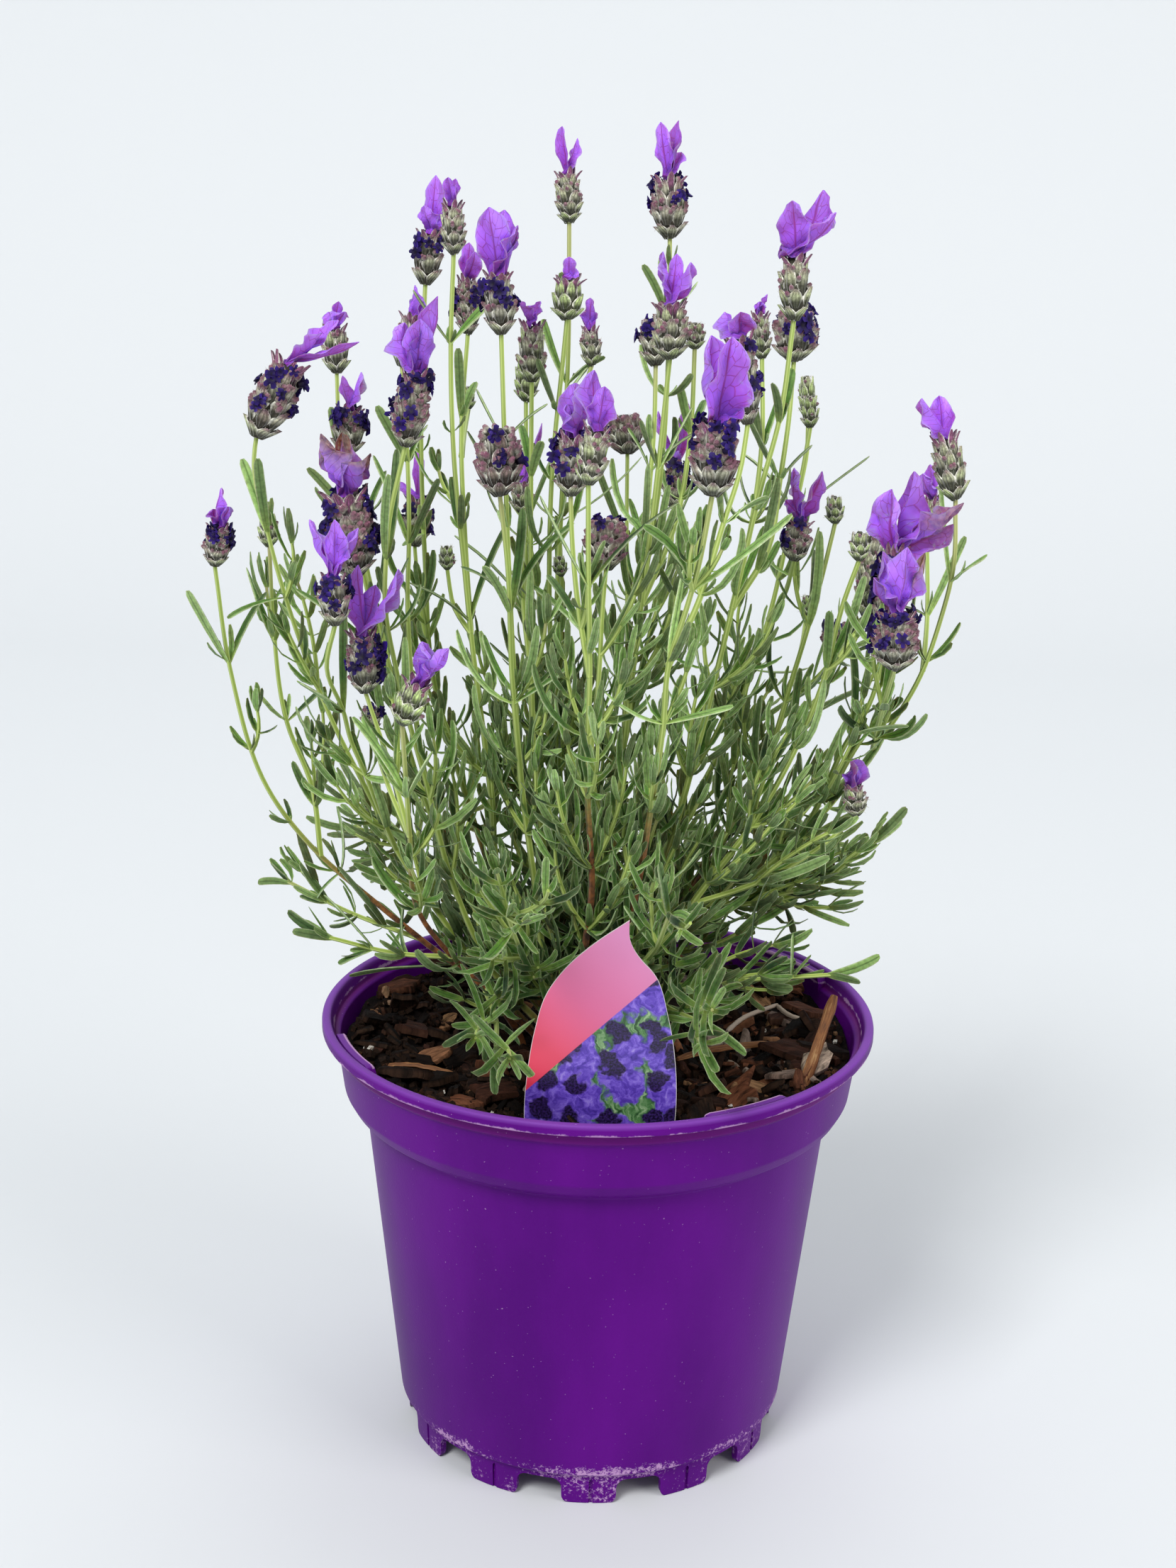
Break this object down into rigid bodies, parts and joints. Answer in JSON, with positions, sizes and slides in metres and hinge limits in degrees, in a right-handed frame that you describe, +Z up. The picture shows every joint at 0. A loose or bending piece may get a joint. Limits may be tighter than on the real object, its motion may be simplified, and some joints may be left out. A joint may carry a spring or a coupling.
{
  "type": "potted lavender plant",
  "caption": "Bushy tufted lavender with violet-bracted flower heads in a round tapered plastic nursery pot with bark soil and a plastic plant label.",
  "frame": {"origin": "centre of the whole part's bounding box, at the plane under the pot's feet", "axes": "+Z up, along the pot's axis; -Y towards the side with the plant label, which the picture shows; +X to the right seen from there"},
  "size_m": [0.2352, 0.2016, 0.4018],
  "materials": {
    "pot_plastic": "satin moulded polypropylene, deep purple",
    "bark_mix": "dark, coarse composted bark",
    "label_plastic": "printed, semi-gloss",
    "lavender_green": "matt, softly haired",
    "lavender_violet": "matt, thin petals"
  },
  "bodies": {
    "root": {"pot": "pot_plastic", "soil": "bark_mix", "plant_label": "label_plastic", "lavender_stem_01": "lavender_green", "lavender_stem_02": "lavender_green", "lavender_stem_03": "lavender_green", "lavender_stem_04": "lavender_green", "lavender_stem_05": "lavender_green", "lavender_stem_06": "lavender_green", "lavender_stem_07": "lavender_green", "lavender_stem_08": "lavender_green", "lavender_stem_09": "lavender_green", "lavender_stem_10": "lavender_green", "lavender_stem_11": "lavender_green", "lavender_stem_12": "lavender_green", "lavender_stem_13": "lavender_green", "lavender_stem_14": "lavender_green", "lavender_stem_15": "lavender_green", "lavender_stem_16": "lavender_green", "lavender_stem_17": "lavender_green", "lavender_stem_18": "lavender_green", "bracts_01": "lavender_violet", "bracts_02": "lavender_violet", "bracts_03": "lavender_violet", "bracts_04": "lavender_violet", "bracts_05": "lavender_violet", "bracts_06": "lavender_violet", "bracts_07": "lavender_violet", "bracts_08": "lavender_violet", "bracts_09": "lavender_violet", "bracts_10": "lavender_violet", "bracts_11": "lavender_violet", "bracts_12": "lavender_violet", "bracts_13": "lavender_violet", "bracts_14": "lavender_violet", "bracts_15": "lavender_violet", "bracts_17": "lavender_violet", "bracts_19": "lavender_violet", "bracts_23": "lavender_violet", "bracts_24": "lavender_violet", "bracts_26": "lavender_violet", "bracts_27": "lavender_violet", "bracts_28": "lavender_violet", "bracts_31": "lavender_violet", "bracts_32": "lavender_violet", "bracts_33": "lavender_violet", "bracts_34": "lavender_violet", "bracts_38": "lavender_violet", "bracts_42": "lavender_violet", "bracts_43": "lavender_violet", "bracts_44": "lavender_violet", "bracts_45": "lavender_violet", "bracts_48": "lavender_violet", "bracts_50": "lavender_violet", "bracts_51": "lavender_violet", "bracts_52": "lavender_violet"}
  },
  "joints": []
}
